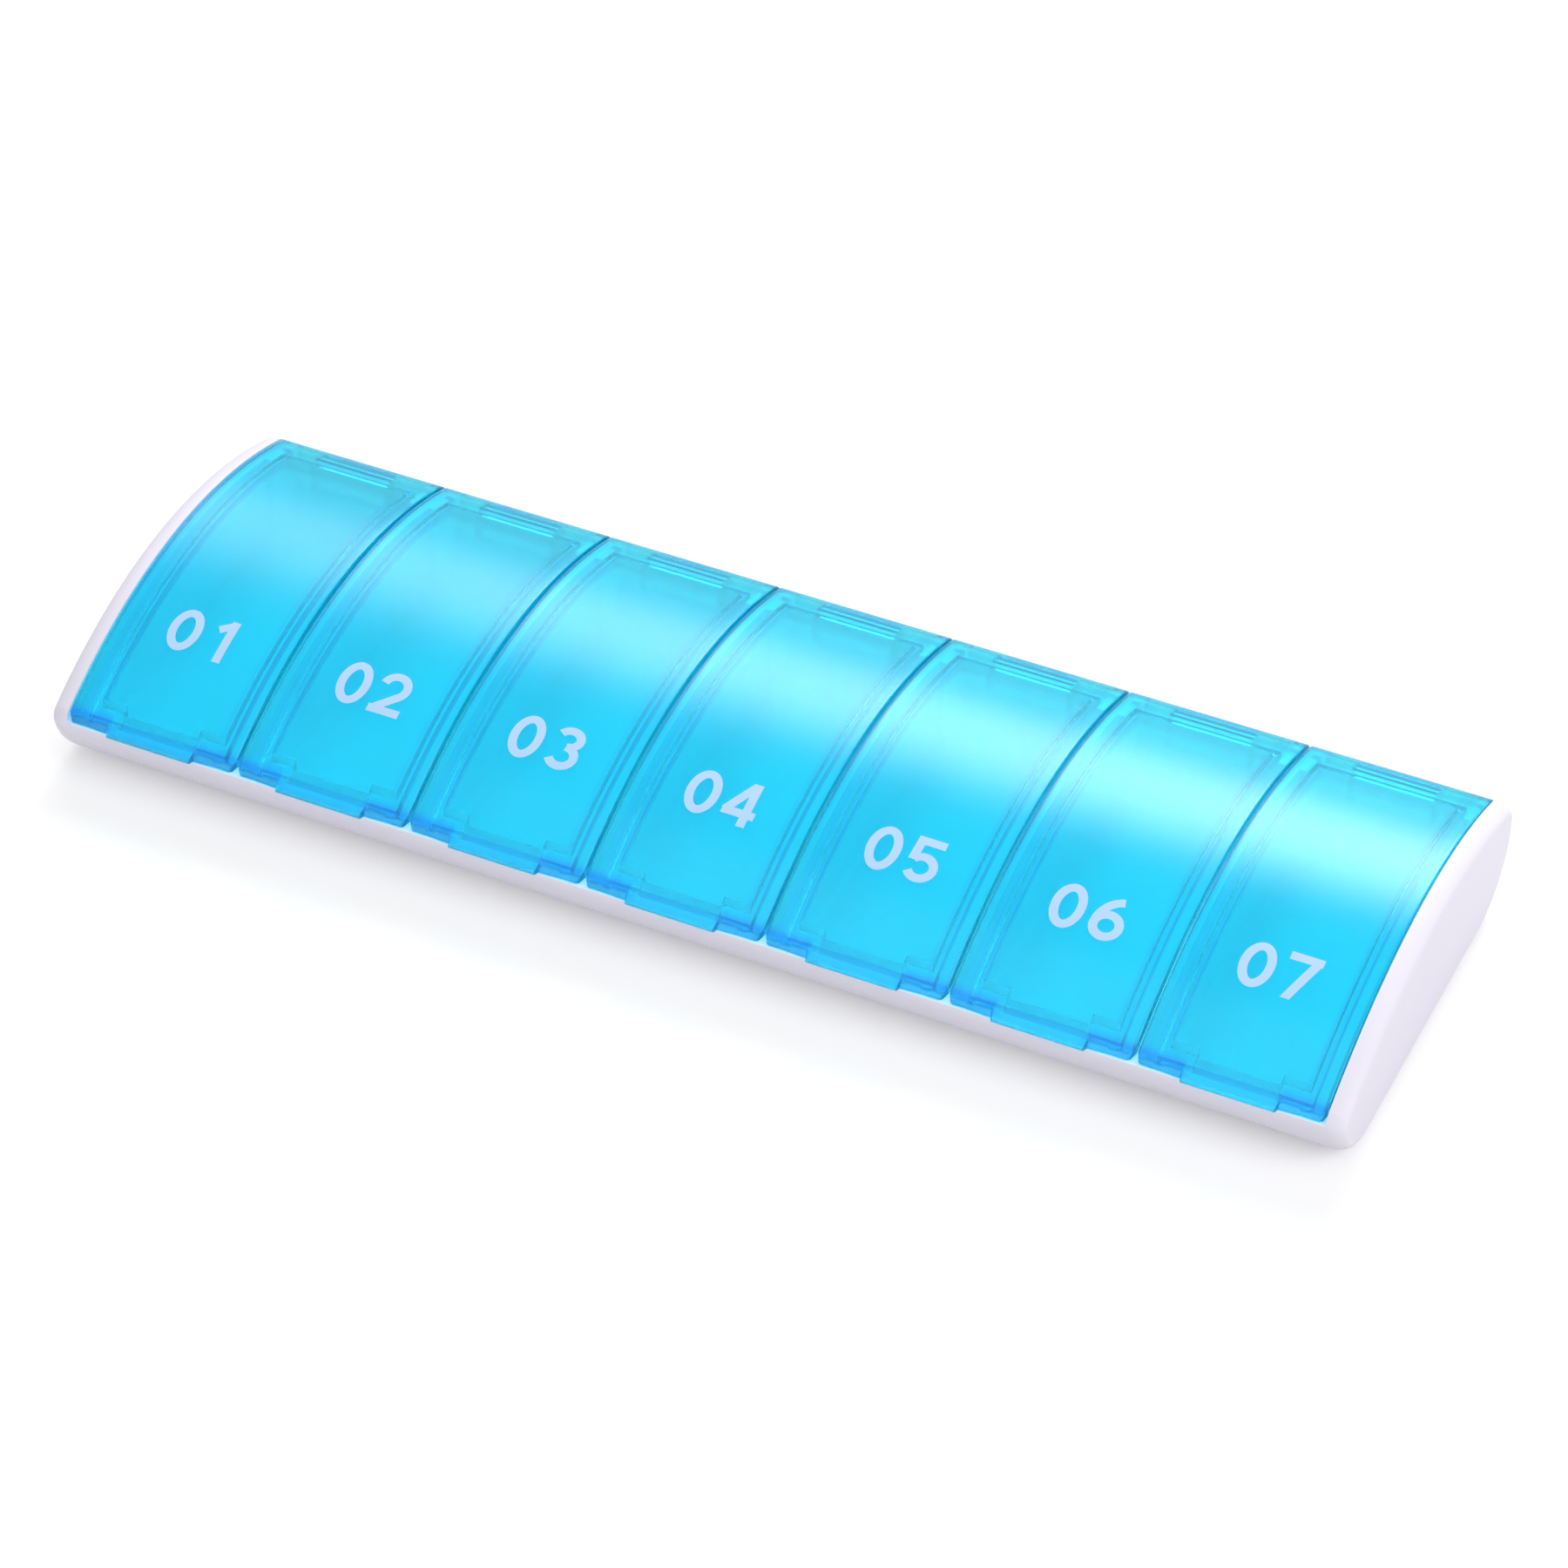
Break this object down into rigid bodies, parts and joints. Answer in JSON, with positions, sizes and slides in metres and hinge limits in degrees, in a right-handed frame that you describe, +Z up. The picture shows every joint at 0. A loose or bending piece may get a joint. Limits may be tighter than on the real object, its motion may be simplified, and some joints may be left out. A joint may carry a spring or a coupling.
{
  "type": "weekly pill box",
  "caption": "Low arched white tray of equal pockets in a row, each closed by its own translucent blue lid that swings up on a pin along the back edge.",
  "frame": {"origin": "middle of the footprint, on the surface the box stands on", "axes": "+X along the row of lids from the first day to the last, +Y from the finger lips to the hinge line, +Z up"},
  "size_m": [0.18, 0.0604, 0.0189],
  "materials": {
    "tray_plastic": "white moulded polypropylene, satin",
    "lid_plastic": "clear tinted blue, polished",
    "pin_steel": "drawn stainless wire"
  },
  "bodies": {
    "tray": {"tray": "tray_plastic", "day_1_hinge_pin": "pin_steel", "day_2_hinge_pin": "pin_steel", "day_3_hinge_pin": "pin_steel", "day_4_hinge_pin": "pin_steel", "day_5_hinge_pin": "pin_steel", "day_6_hinge_pin": "pin_steel", "day_7_hinge_pin": "pin_steel"},
    "day_1_lid": {"day_1_lid": "lid_plastic"},
    "day_2_lid": {"day_2_lid": "lid_plastic"},
    "day_3_lid": {"day_3_lid": "lid_plastic"},
    "day_4_lid": {"day_4_lid": "lid_plastic"},
    "day_5_lid": {"day_5_lid": "lid_plastic"},
    "day_6_lid": {"day_6_lid": "lid_plastic"},
    "day_7_lid": {"day_7_lid": "lid_plastic"}
  },
  "joints": [
    {"name": "day_1_lid_hinge", "type": "hinge", "parent": "tray", "child": "day_1_lid", "pos_m": [-0.075, 0.0268, 0.01145], "axis": [-1, 0, 0], "range_deg": [0, 120]},
    {"name": "day_2_lid_hinge", "type": "hinge", "parent": "tray", "child": "day_2_lid", "pos_m": [-0.05, 0.0268, 0.01145], "axis": [-1, 0, 0], "range_deg": [0, 120]},
    {"name": "day_3_lid_hinge", "type": "hinge", "parent": "tray", "child": "day_3_lid", "pos_m": [-0.025, 0.0268, 0.01145], "axis": [-1, 0, 0], "range_deg": [0, 120]},
    {"name": "day_4_lid_hinge", "type": "hinge", "parent": "tray", "child": "day_4_lid", "pos_m": [0, 0.0268, 0.01145], "axis": [-1, 0, 0], "range_deg": [0, 120]},
    {"name": "day_5_lid_hinge", "type": "hinge", "parent": "tray", "child": "day_5_lid", "pos_m": [0.025, 0.0268, 0.01145], "axis": [-1, 0, 0], "range_deg": [0, 120]},
    {"name": "day_6_lid_hinge", "type": "hinge", "parent": "tray", "child": "day_6_lid", "pos_m": [0.05, 0.0268, 0.01145], "axis": [-1, 0, 0], "range_deg": [0, 120]},
    {"name": "day_7_lid_hinge", "type": "hinge", "parent": "tray", "child": "day_7_lid", "pos_m": [0.075, 0.0268, 0.01145], "axis": [-1, 0, 0], "range_deg": [0, 120]}
  ]
}
